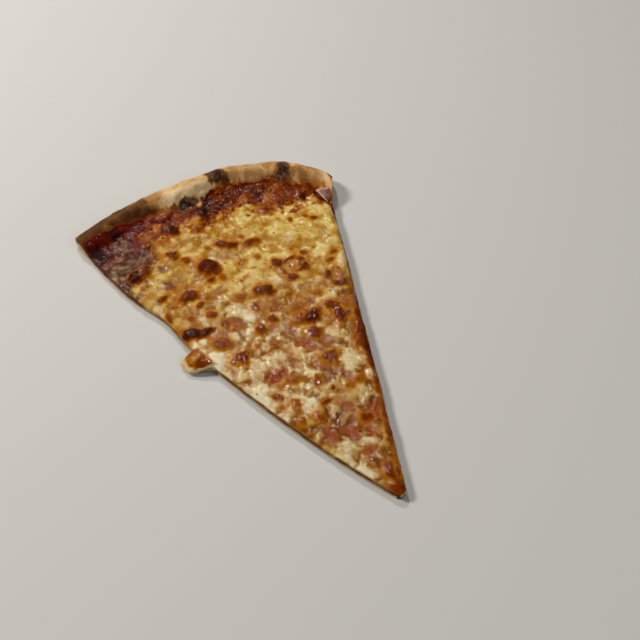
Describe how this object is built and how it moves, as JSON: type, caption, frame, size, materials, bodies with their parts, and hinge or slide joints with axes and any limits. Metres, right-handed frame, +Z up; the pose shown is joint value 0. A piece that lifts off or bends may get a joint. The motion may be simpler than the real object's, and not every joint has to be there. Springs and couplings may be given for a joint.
{
  "type": "cheese pizza slice",
  "caption": "Thin wedge of baked pizza: dough base with a raised crust, a sauce layer and browned melted cheese, lying flat.",
  "frame": {"origin": "centre of the bounding box, on the underside the slice rests on", "axes": "+Y from the tip to the crust, +X to the right seen from above with the crust away, +Z up out of the cheese"},
  "size_m": [0.1484, 0.2402, 0.0125],
  "materials": {
    "dough": "baked bread crust, matte, pale tan with brown toasting and dark char spots",
    "sauce": "baked tomato sauce, wet and glossy, dark red to brown",
    "cheese": "melted cheese, oily satin, cream to yellow with brown blisters",
    "stained_cheese": "torn cheese stained pink by the sauce, satin"
  },
  "bodies": {
    "root": {"dough": "dough", "sauce": "sauce", "cheese": "cheese", "torn_flap": "stained_cheese"}
  },
  "joints": []
}
